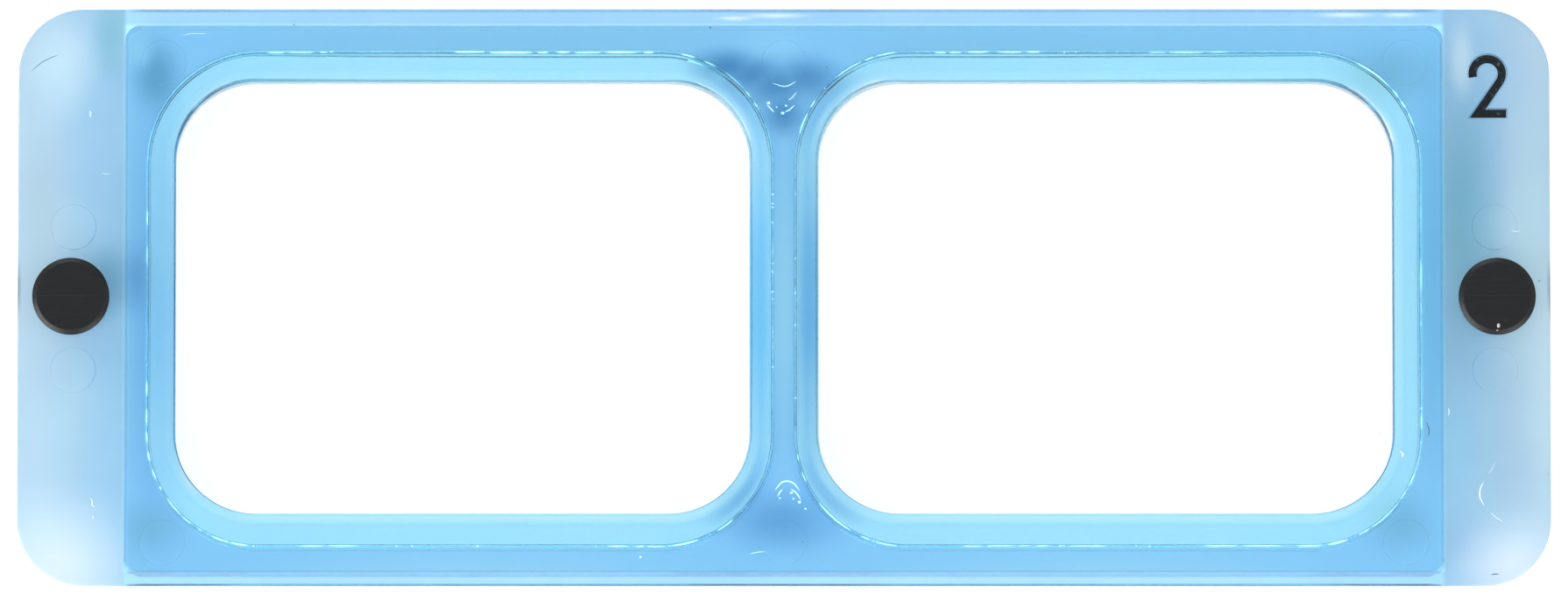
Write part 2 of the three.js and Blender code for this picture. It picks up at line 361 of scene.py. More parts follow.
class Tree:
    """A material's node tree, with short ways to add and link nodes."""

    def __init__(self, name):
        self.material = bpy.data.materials.new(name)
        self.material.use_nodes = True
        self.nodes = self.material.node_tree.nodes
        self.links = self.material.node_tree.links
        self.shader = self.nodes["Principled BSDF"]
        self.output = self.nodes["Material Output"]
        self.place = self.nodes.new("ShaderNodeTexCoord").outputs["Object"]

    def set(self, **values):
        for name, value in values.items():
            self.shader.inputs[name.replace("_", " ")].default_value = value

    def connect(self, socket, value):
        """Links a socket to a node's output, or sets it to a plain value."""
        if isinstance(value, bpy.types.NodeSocket):
            self.links.new(value, socket)
        else:
            socket.default_value = value

    def noise(self, scale, detail=3.0, roughness=0.5, stretch=None):
        """Noise with a scale in cycles per metre. stretch squeezes it along an axis."""
        node = self.nodes.new("ShaderNodeTexNoise")
        node.inputs["Scale"].default_value = scale
        node.inputs["Detail"].default_value = detail
        node.inputs["Roughness"].default_value = roughness
        source = self.place
        if stretch:
            mapping = self.nodes.new("ShaderNodeMapping")
            mapping.inputs["Scale"].default_value = stretch
            self.links.new(source, mapping.inputs["Vector"])
            source = mapping.outputs["Vector"]
        self.links.new(source, node.inputs["Vector"])
        return node.outputs["Fac"]

    def ramp(self, source, low, high, low_value, high_value, smooth=False):
        """source mapped from low..high to low_value..high_value, held at the ends."""
        node = self.nodes.new("ShaderNodeMapRange")
        if smooth:
            node.interpolation_type = "SMOOTHSTEP"
        for name, value in zip(("From Min", "From Max", "To Min", "To Max"),
                               (low, high, low_value, high_value)):
            node.inputs[name].default_value = value
        self.links.new(source, node.inputs["Value"])
        return node.outputs["Result"]

    def math(self, operation, first, second=0.0):
        node = self.nodes.new("ShaderNodeMath")
        node.operation = operation
        self.connect(node.inputs[0], first)
        self.connect(node.inputs[1], second)
        return node.outputs[0]

    def mix(self, share, first, second):
        """A colour between two colours."""
        node = self.nodes.new("ShaderNodeMix")
        node.data_type = "RGBA"
        self.links.new(share, node.inputs["Factor"])
        a, b = [socket for socket in node.inputs if socket.type == "RGBA"]
        self.connect(a, first)
        self.connect(b, second)
        return next(socket for socket in node.outputs if socket.type == "RGBA")

    def axes(self):
        """The three coordinates of the place on the object, in metres."""
        node = self.nodes.new("ShaderNodeSeparateXYZ")
        self.links.new(self.place, node.inputs["Vector"])
        return node.outputs

    def outside(self, outward, upward, centre, length, height, corner):
        """How far a place is outside a rounded rectangle, in metres, and less than 0 inside it.

        outward and upward are the sizes of the two coordinates, so one sum serves both windows.
        """
        across = self.math("ABSOLUTE", self.math("SUBTRACT", outward, centre * MM))
        beyond_x = self.math("SUBTRACT", across, (length / 2 - corner) * MM)
        beyond_y = self.math("SUBTRACT", upward, (height / 2 - corner) * MM)
        squares = [self.math("POWER", self.math("MAXIMUM", part, 0.0), 2.0) for part in (beyond_x, beyond_y)]
        far = self.math("SQRT", self.math("ADD", *squares))
        near = self.math("MINIMUM", self.math("MAXIMUM", beyond_x, beyond_y), 0.0)
        return self.math("SUBTRACT", self.math("ADD", far, near), corner * MM)

    def spots(self, centres):
        """1 at the middle of soft oval spots, falling to 0 at their edges. Each is x, y, half-widths."""
        total = 0.0
        for x, y, reach_x, reach_y in centres:
            mapping = self.nodes.new("ShaderNodeMapping")
            mapping.vector_type = "TEXTURE"
            mapping.inputs["Location"].default_value = (x * MM, y * MM, 0)
            mapping.inputs["Scale"].default_value = (reach_x * MM, reach_y * MM, 1e6)
            self.links.new(self.place, mapping.inputs["Vector"])
            length = self.nodes.new("ShaderNodeVectorMath")
            length.operation = "LENGTH"
            self.links.new(mapping.outputs["Vector"], length.inputs[0])
            total = self.math("MAXIMUM", self.ramp(length.outputs["Value"], 0, 1, 1, 0, True), total)
        return total

    def layers(self, colour, tints):
        """A colour with each tint laid over it in its spots."""
        for tint, spots in tints:
            colour = self.mix(self.spots(spots), colour, tint)
        return colour

    def band(self, distance, middle, near, far, strength):
        """strength within near of a middle distance, falling to 0 at far from it."""
        off = self.math("ABSOLUTE", self.math("SUBTRACT", distance, middle))
        return self.ramp(off, near, far, strength, 0, True)

    def drive(self, name, source):
        self.links.new(source, self.shader.inputs[name])

    def colour(self, source, low, high, first, second):
        """Base colour from first to second as source goes from low to high."""
        self.drive("Base Color", self.mix(self.ramp(source, low, high, 0, 1), first, second))

    def roughness(self, source, low, high, first, second):
        self.drive("Roughness", self.ramp(source, low, high, first, second))

    def bump(self, height, strength, distance):
        node = self.nodes.new("ShaderNodeBump")
        node.inputs["Strength"].default_value = strength
        node.inputs["Distance"].default_value = distance
        self.links.new(height, node.inputs["Height"])
        self.links.new(node.outputs["Normal"], self.shader.inputs["Normal"])

    def absorb(self, colour, density):
        node = self.nodes.new("ShaderNodeVolumeAbsorption")
        node.inputs["Color"].default_value = colour
        node.inputs["Density"].default_value = density
        self.links.new(node.outputs["Volume"], self.output.inputs["Volume"])


# How painted shade and painted highlights vary over the plate: a colour, and the soft oval spots in which it
# shows, each as x, y and two half-widths in mm. Later colours lie over earlier ones.
BLOCK_PAINTED_SHADING = [
    ((0.31, 0.69, 0.92, 1), [(-46.6, -1.0, 3.2, 24.0)]),
    ((0.19, 0.64, 0.95, 1), [(-1.9, 0.0, 1.7, 19.0)]),
    ((0.14, 0.50, 0.80, 1), [(1.9, 0.0, 1.7, 19.0)]),
    ((0.66, 1.0, 1.0, 1), [(0.0, 0.0, 1.3, 15.0), (-24.0, -20.6, 24.0, 2.6), (24.0, -20.6, 24.0, 2.6)]),
    ((0.36, 0.80, 0.92, 1), [(48.6, 3.0, 2.4, 22.0)]),
    ((0.54, 0.90, 0.95, 1), [(-20.0, 19.2, 24.0, 1.6), (20.0, 19.0, 26.0, 1.4)]),
    ((0.41, 0.77, 0.82, 1), [(45.2, 17.0, 6.0, 3.6), (-47.2, -17.0, 4.0, 3.2), (46.0, -16.8, 4.0, 3.6)]),
    ((0.28, 0.62, 0.80, 1), [(0.0, -16.6, 6.5, 3.6), (-48.3, 1.6, 2.0, 4.0)]),
    ((0.25, 0.59, 0.70, 1), [(-46.9, 16.8, 2.7, 3.8)]),
    ((0.10, 0.40, 0.60, 1), [(-4.2, 17.5, 4.2, 1.9), (-2.4, 16.9, 4.4, 2.2), (-0.4, 16.1, 4.4, 2.7),
                             (1.6, 16.6, 4.0, 2.4), (0.0, 14.0, 2.4, 2.6)]),
    ((0.60, 0.98, 1.0, 1), [(-0.8, 19.3, 3.6, 1.8), (-48.4, 18.8, 1.6, 2.2)]),
]

# Spots in the same form: pale glints in the strips, soft shade at the middle of the windows' ring, and
# pale glints on the rounding of the windows.
STRIP_GLINTS = [(-3.7, 20.95, 1.9, 0.22), (-0.6, 21.15, 3.4, 0.22), (42.0, 21.2, 3.0, 0.25),
                (46.0, 21.2, 2.0, 0.2)]
CORNER_SHADES = [(-3.4, 15.0, 5.0, 5.0), (3.0, 14.2, 4.6, 5.4), (-3.2, -14.6, 4.6, 5.0),
                 (3.2, -14.6, 4.6, 5.0)]
MOUTH_GLINTS = [(6.8, 15.7, 2.8, 1.3), (-3.1, 10.4, 1.3, 3.6), (-44.4, -13.0, 1.6, 3.4),
                (45.0, 11.6, 1.3, 3.4)]

# Painted shade and pale painted highlights on the ends of the flange, in the same form.
FLANGE_PAINTED_SHADING = [
    ((0.56, 0.73, 0.77, 1), [(55.5, 2.0, 2.8, 20.0)]),
    ((0.50, 0.63, 0.69, 1), [(-55.5, 6.0, 2.6, 12.0)]),
    ((0.24, 0.50, 0.60, 1), [(50.6, 6.0, 3.6, 15.0), (-50.2, 19.6, 2.2, 4.6)]),
    ((0.36, 0.62, 0.78, 1), [(-49.4, -3.0, 2.6, 20.0)]),
    ((0.37, 0.66, 0.81, 1), [(49.8, -11.0, 2.4, 7.0)]),
    ((0.22, 0.48, 0.62, 1), [(-50.4, 1.4, 2.6, 4.0)]),
    ((0.78, 0.83, 0.88, 1), [(-54.0, -20.0, 7.0, 7.0), (54.5, -20.0, 6.0, 5.0)]),
    ((0.62, 0.77, 0.82, 1), [(-54.0, 17.5, 3.6, 5.0), (50.6, 17.8, 1.4, 4.0), (57.0, -6.0, 2.2, 14.0)]),
    ((0.04, 0.07, 0.09, 1), [(-57.2, 0.8, 0.35, 3.2), (57.2, 0.8, 0.35, 3.2)]),
]


# Where one tint or band of painted shade and glint gives way to the next: in metres from the middle of the
# plate, and in mm from a window.
TO_FLANGE, TO_EDGE, TO_STRIP = (0.0490, 0.0494), (0.0495, 0.0575), (0.02035, 0.0206)
ON_ROUNDING, MID_RING, PAST_RING = (0.35, 0.6), 1.15, (2.1, 2.6)


def block_tint_and_painted_shading(tree, from_window, upward):
    """The block's tint, clearest in the ring round each window, with painted shade and painted highlights
    laid over it, and that of the strips beyond it.
    """
    rounding = tree.ramp(from_window, WINDOW_SLOPE - 0.25, WINDOW_SLOPE, 1, 0, True)
    ring = tree.mix(rounding, (0.48, 0.88, 1.0, 1), (0.58, 0.93, 1.0, 1))
    # painted shade along the crease where the window's rounding meets the front face
    crease = tree.band(from_window, WINDOW_SLOPE + 0.08, 0.0, 0.16, 0.3)
    ring = tree.mix(crease, ring, (0.36, 0.82, 1.0, 1))
    shade = tree.math("MULTIPLY", tree.band(from_window, MID_RING, 0.1, 0.65, 0.9), tree.spots(CORNER_SHADES))
    ring = tree.mix(shade, ring, (0.22, 0.58, 0.86, 1))
    on_rounding = tree.ramp(from_window, *ON_ROUNDING, 1, 0, True)
    glint = tree.math("MULTIPLY", on_rounding, tree.spots(MOUTH_GLINTS))
    ring = tree.mix(glint, ring, (1.0, 1.0, 1.0, 1))
    past_ring = tree.ramp(from_window, *PAST_RING, 0, 1, True)
    block = tree.layers(tree.mix(past_ring, ring, (0.54, 0.92, 1.0, 1)), BLOCK_PAINTED_SHADING)
    # the strips: their tint deepened by painted shade, with painted glints on it
    strip = tree.mix(tree.spots(STRIP_GLINTS), (0.40, 0.66, 0.86, 1), (0.95, 1.0, 1.0, 1))
    return tree.mix(tree.ramp(upward, *TO_STRIP, 0, 1, True), block, strip)


def flange_tint_and_painted_shading(tree, outward, cloud):
    """The tint of the flange's ends, with painted shade: deep beside the block, pale at the outer edge."""
    drift = tree.math("MULTIPLY", tree.math("SUBTRACT", cloud, 0.5), 0.006)
    towards_edge = tree.ramp(tree.math("ADD", outward, drift), *TO_EDGE, 0, 1, True)
    shade_beside_block = tree.mix(towards_edge, (0.385, 0.605, 0.765, 1), (0.53, 0.665, 0.745, 1))
    return tree.layers(shade_beside_block, FLANGE_PAINTED_SHADING)


def tinted_plastic():
    """Blue-tinted clear plastic: deeper where it is thicker, and milky on the matt ends of the flange. Its
    colour also carries painted shade and painted highlights.
    """
    tree = Tree("tinted_plastic")
    tree.set(Metallic=0.0, IOR=1.49)
    cloud = tree.noise(90, 4, 0.55)
    fine = tree.noise(900, 3, 0.6)
    x, y, _ = tree.axes()
    outward, upward = tree.math("ABSOLUTE", x), tree.math("ABSOLUTE", y)
    beyond = tree.outside(outward, upward, WINDOW_CENTRE, WINDOW_LENGTH, WINDOW_HEIGHT, WINDOW_CORNER)
    from_window = tree.math("MULTIPLY", beyond, 1 / MM)
    on_flange = tree.ramp(outward, *TO_FLANGE, 0, 1, True)
    # the block's and flange's tints, with painted shade and painted highlights laid into them
    tint = tree.mix(on_flange, block_tint_and_painted_shading(tree, from_window, upward), flange_tint_and_painted_shading(tree, outward, cloud))
    tree.drive("Base Color", tree.mix(tree.ramp(cloud, 0.4, 0.75, 0, 0.25), tint, (0.62, 0.94, 1.0, 1)))
    tree.drive("Transmission Weight", tree.ramp(on_flange, 0, 1, 0.93, 0.74))
    tree.drive("Roughness", tree.ramp(tree.math("ADD", cloud, fine), 0.7, 1.3, 0.05, 0.14))
    tree.bump(tree.math("ADD", tree.noise(60, 2), tree.math("MULTIPLY", fine, 0.05)), 0.12, 0.0003)
    tree.absorb((0.0, 0.45, 0.82, 1), 125)
    return tree.material


def lens_glass():
    """Polished clear crown glass, with the faintest dust."""
    tree = Tree("lens_glass")
    tree.set(Metallic=0.0, IOR=1.523, Transmission_Weight=1.0, Base_Color=(0.99, 1.0, 1.0, 1))
    dust = tree.noise(2500, 2, 0.6)
    tree.roughness(dust, 0.62, 0.8, 0.0, 0.06)
    return tree.material


def clear_cement():
    """Clear set cement with a rippled skin, and a faint blue painted glow from its emission."""
    tree = Tree("clear_cement")
    tree.set(Metallic=0.0, IOR=1.5, Transmission_Weight=1.0,
             Emission_Color=(0.33, 0.66, 1.0, 1), Emission_Strength=0.13)
    ripple = tree.noise(1800, 3, 0.6)
    tree.colour(ripple, 0.35, 0.65, (0.72, 0.95, 1.0, 1), (0.93, 1.0, 1.0, 1))
    tree.roughness(ripple, 0.4, 0.6, 0.05, 0.2)
    tree.bump(ripple, 0.3, 0.0001)
    return tree.material


def trapped_air():
    """The skin of an air gap, made bright by emission: a painted glow that stands in for the light it gathers
    from inside the plate.
    """
    tree = Tree("trapped_air")
    tree.set(Metallic=0.0, IOR=1.45, Emission_Color=(1.0, 0.88, 0.82, 1), Emission_Strength=1.9)
    flicker = tree.noise(3000, 2, 0.5)
    tree.colour(flicker, 0.4, 0.6, (0.82, 0.99, 1.0, 1), (1.0, 1.0, 1.0, 1))
    tree.roughness(flicker, 0.4, 0.6, 0.1, 0.35)
    return tree.material


def black_nylon():
    """Moulded black nylon with a fine spark-eroded grain and pale scuffs."""
    tree = Tree("black_nylon")
    tree.set(Metallic=0.0, IOR=1.5, Specular_IOR_Level=0.38)
    grain = tree.noise(9000, 3, 0.6)
    scuffs = tree.noise(700, 5, 0.7, (1, 6, 1))
    tree.colour(scuffs, 0.5, 0.78, (0.007, 0.009, 0.010, 1), (0.013, 0.015, 0.017, 1))
    tree.roughness(grain, 0.3, 0.7, 0.30, 0.42)
    tree.bump(grain, 0.2, 0.00003)
    return tree.material


def pale_nylon():
    """Stress-whitened nylon, where the gate was twisted off."""
    tree = Tree("pale_nylon")
    tree.set(Metallic=0.0, IOR=1.5)
    patches = tree.noise(6000, 3, 0.6)
    tree.colour(patches, 0.35, 0.65, (0.42, 0.42, 0.40, 1), (0.72, 0.71, 0.68, 1))
    tree.roughness(patches, 0.3, 0.7, 0.5, 0.7)
    tree.bump(patches, 0.3, 0.00003)
    return tree.material


def black_ink():
    """Marking ink rubbed into a groove, thin and cracked in places."""
    tree = Tree("black_ink")
    tree.set(Metallic=0.0, IOR=1.45, Specular_IOR_Level=0.3)
    wear = tree.noise(2600, 4, 0.65)
    tree.colour(wear, 0.55, 0.75, (0.006, 0.010, 0.013, 1), (0.08, 0.13, 0.16, 1))
    tree.roughness(wear, 0.3, 0.7, 0.3, 0.6)
    tree.bump(wear, 0.4, 0.00005)
    return tree.material


def scuffed_plastic():
    """Plastic torn white along a scratch, with a faint painted glow from its emission."""
    tree = Tree("scuffed_plastic")
    tree.set(Metallic=0.0, IOR=1.49, Emission_Color=(0.8, 0.95, 1.0, 1), Emission_Strength=0.2)
    tear = tree.noise(4000, 3, 0.6)
    tree.colour(tear, 0.35, 0.65, (0.62, 0.86, 0.95, 1), (0.95, 1.0, 1.0, 1))
    tree.roughness(tear, 0.3, 0.7, 0.3, 0.6)
    return tree.material


def dirt():
    """Dark grit lodged in a scratch or moulded in."""
    tree = Tree("dirt")
    tree.set(Metallic=0.0, IOR=1.45)
    grit = tree.noise(5000, 3, 0.6)
    tree.colour(grit, 0.35, 0.65, (0.03, 0.05, 0.07, 1), (0.12, 0.2, 0.26, 1))
    tree.roughness(grit, 0.3, 0.7, 0.5, 0.8)
    return tree.material


# ---------- camera, floor and light

ROOM_LIGHT = 0.55
FLOOR_GLOW = 0.72           # keeps the floor white through the lenses, as on a light table


def make_camera():
    """Nearly square on to the front face, leaning a little towards the lower edge."""
    elevation, distance, frame_width = math.radians(85), 1200 * MM, 116.9 * MM
    target = Vector((0, 0, FRONT * MM))
    back = Vector((0, -math.cos(elevation), math.sin(elevation)))
    data = bpy.data.cameras.new("camera")
    data.sensor_width = 36
    data.lens = data.sensor_width * distance / frame_width
    data.clip_start, data.clip_end = 0.05, 20
    camera = bpy.data.objects.new("camera", data)
    camera.location = target + back * distance
    camera.rotation_euler = (-back).to_track_quat("-Z", "Y").to_euler()
    SCENE.collection.objects.link(camera)
    SCENE.camera = camera


def make_floor():
    """A wide pale floor just under the part."""
    mesh = bpy.data.meshes.new("floor")
    reach, height = 12.0, -0.00005
    mesh.from_pydata([(a * reach, b * reach, height) for a, b in SQUARE], [], [(0, 1, 2, 3)])
    floor = bpy.data.objects.new("floor", mesh)
    SCENE.collection.objects.link(floor)
    tree = Tree("floor_paper")
    tree.set(Roughness=0.9, Specular_IOR_Level=0.1, Emission_Color=(1, 1, 1, 1), Emission_Strength=FLOOR_GLOW)
    tree.drive("Base Color", tree.mix(tree.noise(4, 2), (0.93, 0.93, 0.93, 1), (0.95, 0.95, 0.95, 1)))
    mesh.materials.append(tree.material)


def area_light(name, place, size, power):
    """A soft box that faces the object."""
    data = bpy.data.lights.new(name, "AREA")
    data.shape = "RECTANGLE"
    data.size, data.size_y = size
    data.energy = power
    light = bpy.data.objects.new(name, data)
    light.location = place
    light.rotation_euler = (-Vector(place)).to_track_quat("-Z", "Y").to_euler()
    SCENE.collection.objects.link(light)


# Soft boxes one metre out from the object: name, direction in degrees, height, width and power.
LIGHT_BOXES = [("far", 90, 0.95, 1.0, 1.2), ("left", 180, 0.95, 1.0, 1.5), ("near", 270, 0.95, 1.0, 1.2),
               ("right", 0, 0.95, 1.0, 1.1), ("low_left", 218, 0.42, 1.1, 9.0),
               ("low_right", 305, 0.42, 0.7, 3.0), ("low_far", 105, 0.42, 0.7, 1.6)]


def make_light():
    """A soft even room, four boxes all round, and three low ones that catch the rivets' rims."""
    world = bpy.data.worlds.new("studio")
    world.use_nodes = True
    background = world.node_tree.nodes["Background"]
    background.inputs["Color"].default_value = (1.0, 1.0, 1.0, 1)
    background.inputs["Strength"].default_value = ROOM_LIGHT
    SCENE.world = world
    for name, turn, height, width, power in LIGHT_BOXES:
        across, up = math.cos(math.radians(turn)), math.sin(math.radians(turn))
        area_light(f"{name}_box", (across, up, height), (width, min(width, height)), power)
    SCENE.view_settings.view_transform = "Standard"


# ---------- the moulding

def quarter_round(radius, steps=3):
    """(inset, drop) pairs round a quarter turn, from the flat face to the side wall."""
    turns = [math.pi / 2 * i / steps for i in range(steps + 1)]
    return [(radius * (1 - math.sin(t)), radius * (1 - math.cos(t))) for t in turns]


def ejector_marks(solid, centres, height):
    """Shallow round recesses that rise from a back face. Returns the rings where they break it."""
    rims = []
    for centre in centres:
        rim = solid.ring(circle(EJECTOR_RADIUS, centre), height)
        bed = solid.ring(circle(EJECTOR_RADIUS - EJECTOR_DRAFT, centre), height + EJECTOR_DEPTH)
        solid.skin(rim, bed)
        solid.fill(bed)
        rims.append(rim)
    return rims


def rivet_centre(word):
    low, high = corners(f"{word}_rivet_plunger")
    return (low.x + high.x) / 2, (low.y + high.y) / 2


def moulding():
    """The lens plate: flange, block, windows, pockets, rivet holes, numeral groove and ejector marks."""
    solid = Solid()
    flange = (FLANGE_LENGTH, FLANGE_HEIGHT, FLANGE_CORNER)
    block = (BLOCK_LENGTH, BLOCK_HEIGHT, BLOCK_CORNER)
    window = (WINDOW_LENGTH, WINDOW_HEIGHT, WINDOW_CORNER)
    pocket = (POCKET_LENGTH, POCKET_HEIGHT, POCKET_CORNER)

    # the flange's rim, from the front face over the edge to its back face
    rim = [solid.ring(rounded_rectangle(*flange, inset=i), FRONT - d)
           for i, d in quarter_round(FLANGE_EDGE)]
    rim += [solid.ring(rounded_rectangle(*flange, inset=i), FLANGE_BACK + d)
            for i, d in reversed(quarter_round(FLANGE_EDGE))]
    solid.loft(rim)

    # the block's side, from its root in the flange to its back face
    root = [solid.ring(rounded_rectangle(*block, inset=-i), FLANGE_BACK - d)
            for i, d in quarter_round(ROOT)]
    root += [solid.ring(rounded_rectangle(*block, inset=i), d) for i, d in reversed(quarter_round(EDGE))]
    solid.loft(root)

    front_holes, back_holes, flange_holes = [], [], []
    for word, side in SIDES:
        at_window, at_pocket = (side * WINDOW_CENTRE, 0), (side * POCKET_CENTRE, 0)

        # the window's mouth, rounded at the front, and its wall down to the lip
        mouth = [solid.ring(rounded_rectangle(*window, at_window, -outward), FRONT - drop)
                 for outward, drop in WINDOW_MOUTH]
        solid.loft(mouth)

        # the pocket, from its mouth in the back face up to the lip
        wall = [solid.ring(rounded_rectangle(*pocket, at_pocket, -i), d) for i, d in quarter_round(EDGE)]
        wall.append(solid.ring(rounded_rectangle(*pocket, at_pocket, 0.0), FRONT - LIP))
        solid.loft(wall)
        solid.fill(wall[-1], mouth[-1])
        front_holes.append(mouth[0])
        back_holes.append(wall[0])

        # the rivet's hole
        at_rivet = rivet_centre(word)
        bore = [solid.ring(circle(RIVET_HOLE, at_rivet), FRONT),
                solid.ring(circle(RIVET_HOLE, at_rivet), FLANGE_BACK)]
        solid.loft(bore)
        front_holes.append(bore[0])
        flange_holes.append(bore[1])

    # the numeral's groove
    groove = [solid.ring(numeral_outline(GROOVE_MARGIN), FRONT),
              solid.ring(numeral_outline(GROOVE_MARGIN - GROOVE_DRAFT), FRONT - GROOVE_DEPTH)]
    solid.loft(groove)
    solid.fill(groove[-1])
    front_holes.append(groove[0])

    back_holes += ejector_marks(solid, EJECTORS_IN_BLOCK, 0.0)
    flange_holes += ejector_marks(solid, EJECTORS_IN_FLANGE, FLANGE_BACK)

    solid.fill(rim[0], *front_holes)
    solid.fill(rim[-1], root[0], *flange_holes)
    solid.fill(root[-1], *back_holes)
    return solid.piece("lens_plate_moulding", PLATE_CREASE)


def numeral_ink():
    """The ink in the numeral's groove, proud along its middle and drawn down at its edges."""
    low, high = corners("strength_numeral")
    solid = Solid()
    sections = [(0.0, low.z), (0.0, high.z - 0.06), (-0.03, high.z - 0.01), (-0.08, high.z),
                (-0.17, high.z - 0.05)]
    rings = [solid.ring(numeral_outline(margin), z) for margin, z in sections]
    solid.loft(rings)
    solid.fill(rings[0])
    solid.fill(rings[-1])
    return solid.piece("strength_numeral_ink", INK_CREASE)


# ---------- lenses, cement and trapped air

def lens(word, side):
    """A plano-convex lens: flat in front, with a bevelled edge, and curved behind."""
    low, high = corners(f"{word}_lens")
    length, height = high.x - low.x, high.y - low.y
    corner = POCKET_CORNER - (POCKET_LENGTH - length) / 2
    centre = ((low.x + high.x) / 2, 0)
    optical = centre[0] - side * TOWARDS_NOSE

    def back(x, y):
        squared = (x - optical) ** 2 + y ** 2
        return low.z + LENS_RADIUS - math.sqrt(LENS_RADIUS ** 2 - squared)

    def outline(inset):
        return rounded_rectangle(length, height, corner, centre, inset)

    solid = Solid()
    edge, bevel = outline(0), outline(LENS_BEVEL)
    front = solid.ring(bevel, high.z)
    rings = [front, solid.ring(edge, high.z - LENS_BEVEL),
             solid.ring(edge, [back(x, y) + LENS_BEVEL for x, y in edge]),
             solid.ring(bevel, [back(x, y) for x, y in bevel])]
    for step in range(1, LENS_RINGS):
        share = 1 - step / LENS_RINGS
        shrunk = [(centre[0] + (x - centre[0]) * share, y * share) for x, y in bevel]
        rings.append(solid.ring(shrunk, [back(x, y) for x, y in shrunk]))
    solid.loft(rings)
    solid.fan(rings[-1], centre[0], 0, back(centre[0], 0))
    solid.fill(front)
    return solid.piece(f"{word}_lens_ground", LENS_CREASE)


def cement_bead(word, side):
    """The set bead between the lens's edge and the pocket's wall, uneven along its length."""
    low, high = corners(f"{word}_lens_cement")
    middle = LENS_GAP / 2
    reach = middle - CEMENT_CLEARANCE
    height = high.z - low.z
    solid = Solid()
    rings = []
    for k in range(CEMENT_SIDES):
        turn = 2 * math.pi * k / CEMENT_SIDES
        across, up = math.cos(turn), math.sin(turn)
        inset = middle + reach * math.copysign(abs(across) ** 0.5, across)
        flat = rounded_rectangle(POCKET_LENGTH, POCKET_HEIGHT, POCKET_CORNER,
                                 (side * POCKET_CENTRE, 0), inset, BEAD_STEPS)
        heights = []
        for x, y in flat:
            slump = 0.5 + 0.5 * noise.noise(Vector((x * SLUMP_SCALE, y * SLUMP_SCALE, side)))
            ripple = noise.noise(Vector((x * RIPPLE_SCALE, y * RIPPLE_SCALE, side + 4)))
            depth = height * (CEMENT_DEPTH + CEMENT_SLUMP * slump + CEMENT_RIPPLE * ripple)
            heights.append(high.z - depth * (0.5 - 0.5 * math.copysign(abs(up) ** 0.6, up)))
        rings.append(solid.ring(flat, heights))
    solid.loop(rings)
    return solid.piece(f"{word}_lens_cement_bead", CEMENT_CREASE)


# Where air is caught along each pocket's outline, in mm: where it starts and ends, and how wide it is.
AIR_LINES = {
    "left": [((-38.5, 18.7), (-33.5, 18.7), 0.09), ((-24.5, 18.7), (-9.5, 18.7), 0.12),
             ((-8.0, 18.5), (-5.2, 17.6), 0.10), ((-4.5, 17.2), (-1.8, 14.4), 0.07),
             ((-47.7, 6.6), (-47.7, 5.4), 0.07), ((-47.7, 4.2), (-47.7, 2.2), 0.08),
             ((-47.7, -6.0), (-47.7, -7.4), 0.10), ((-47.7, -8.0), (-47.7, -9.4), 0.12),
             ((-47.7, -9.8), (-46.2, -14.4), 0.13), ((-45.9, -14.9), (-43.6, -16.9), 0.08),
             ((-42.9, -17.4), (-41.4, -18.0), 0.12), ((-41.1, -18.15), (-40.2, -18.45), 0.10),
             ((-36.0, -18.7), (-31.5, -18.7), 0.06), ((-13.0, -18.7), (-8.6, -18.6), 0.08),
             ((-8.2, -18.5), (-6.2, -17.8), 0.12), ((-5.4, -17.4), (-3.4, -15.9), 0.08)],
    "right": [((1.2, 12.6), (2.4, 14.6), 0.09), ((4.0, 16.6), (8.6, 18.6), 0.07),
              ((11.0, 18.7), (19.0, 18.7), 0.09), ((27.0, 18.7), (33.0, 18.7), 0.06),
              ((42.6, 17.5), (46.9, 13.0), 0.09), ((47.7, 3.0), (47.7, -2.0), 0.05),
              ((47.7, -8.6), (47.7, -9.8), 0.10), ((46.9, -13.2), (42.6, -17.4), 0.08),
              ((42.2, -17.6), (38.0, -18.6), 0.12), ((37.2, -18.7), (30.5, -18.7), 0.09),
              ((24.0, -18.7), (13.0, -18.7), 0.06), ((8.6, -18.6), (5.6, -17.4), 0.08),
              ((5.0, -17.0), (2.4, -14.5), 0.11), ((1.9, -13.8), (0.9, -11.8), 0.09)],
}


def trapped_air_lines(word, side):
    """Air caught in the cement under the lip: broken bright lines, and bubbles all along it."""
    dice = random.Random(7 if side < 0 else 11)
    high = corners(f"{word}_lens_cement")[1]
    top = high.z - AIR_DROP
    path = Path(rounded_rectangle(POCKET_LENGTH, POCKET_HEIGHT, POCKET_CORNER, (side * POCKET_CENTRE, 0),
                                  LENS_GAP / 2, BEAD_STEPS))
    solid = Solid()
    for start, end, width in AIR_LINES[word]:
        first, last = path.nearest(*start), path.nearest(*end)
        if abs(last - first) > path.length / 2:
            last += path.length if last < first else -path.length
        cursor, way = first, 1 if last > first else -1
        while (last - cursor) * way > AIR_SHORTEST:
            run = min(dice.uniform(*AIR_RUN), abs(last - cursor))
            flat = path.stretch(cursor, cursor + run * way, max(4, int(run * 4)))
            drift = dice.uniform(*AIR_DRIFT)
            points = [Vector((p.x, p.y + drift, top + AIR_RISE * math.sin(3 * p.x + 2 * p.y))) for p in flat]
            solid.sliver(points, width * dice.uniform(*AIR_SWELL), AIR_THICKNESS)
            cursor += way * (run + dice.uniform(*AIR_SKIP))
    for _ in range(AIR_BUBBLES):
        spot = path.at(dice.uniform(0, path.length))
        size = dice.uniform(*AIR_BUBBLE_SIZE)
        solid.bead((spot.x, spot.y, top), (size, size, min(size, AIR_THICKNESS / 2)), dice.uniform(0, 90), 1)
    return solid.piece(f"{word}_lens_trapped_air", LOOSE_CREASE)


